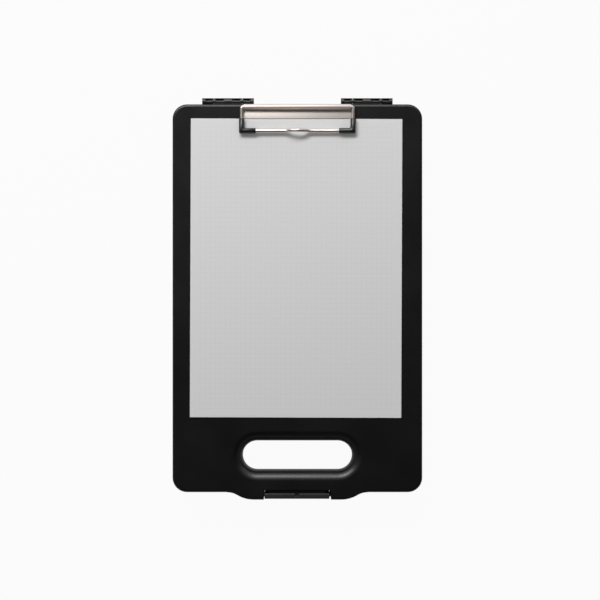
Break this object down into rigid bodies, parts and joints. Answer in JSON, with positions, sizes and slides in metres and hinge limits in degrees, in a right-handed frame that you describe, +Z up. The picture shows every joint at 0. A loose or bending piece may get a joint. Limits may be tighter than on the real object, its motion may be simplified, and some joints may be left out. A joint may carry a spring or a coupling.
{
  "type": "storage clipboard box",
  "caption": "Shallow plastic storage box whose hinged lid is a clipboard, with a hand slot, a flip latch, a wire paper clip and a few sheets of squared paper.",
  "frame": {"origin": "on the table under the middle of the bounding box, the box lying on its back", "axes": "+Z up out of the writing face, +Y from the handle end to the hinge end, +X to the right as the sheet is read"},
  "size_m": [0.2486, 0.4002, 0.045],
  "materials": {
    "case_plastic": "finely textured black polypropylene",
    "pin_plastic": "smooth black plastic rod",
    "latch_plastic": "satin dark grey moulded plastic",
    "pin_steel": "drawn steel wire",
    "clip_nickel": "bright nickel plating on steel",
    "sleeve_plastic": "soft satin black plastic",
    "sheet_paper": "uncoated white paper with faint squares"
  },
  "bodies": {
    "base": {"base_tray": "case_plastic", "hinge_pin_left": "pin_plastic", "hinge_pin_right": "pin_plastic", "latch_pin": "pin_steel"},
    "lid": {"lid_board": "case_plastic", "clip_plate": "clip_nickel", "note_sheet": "sheet_paper"},
    "bail": {"clip_bail": "clip_nickel", "corner_sleeve_left": "sleeve_plastic", "corner_sleeve_right": "sleeve_plastic"},
    "latch": {"latch": "latch_plastic", "latch_hook": "latch_plastic"}
  },
  "joints": [
    {"name": "lid_swing", "type": "hinge", "parent": "base", "child": "lid", "pos_m": [0, 0.19665, 0.023], "axis": [-1, 0, 0], "range_deg": [0, 180], "deforming": ["latch_hook"]},
    {"name": "bail_swing", "type": "hinge", "parent": "lid", "child": "bail", "pos_m": [0, 0.1905, 0.03675], "axis": [-1, 0, 0], "range_deg": [0, 100], "stiffness_Nm_per_rad": 0.03, "springref_deg": -34.38},
    {"name": "latch_swing", "type": "hinge", "parent": "base", "child": "latch", "pos_m": [0, -0.1956, 0.005], "axis": [1, 0, 0], "range_deg": [0, 80]}
  ]
}
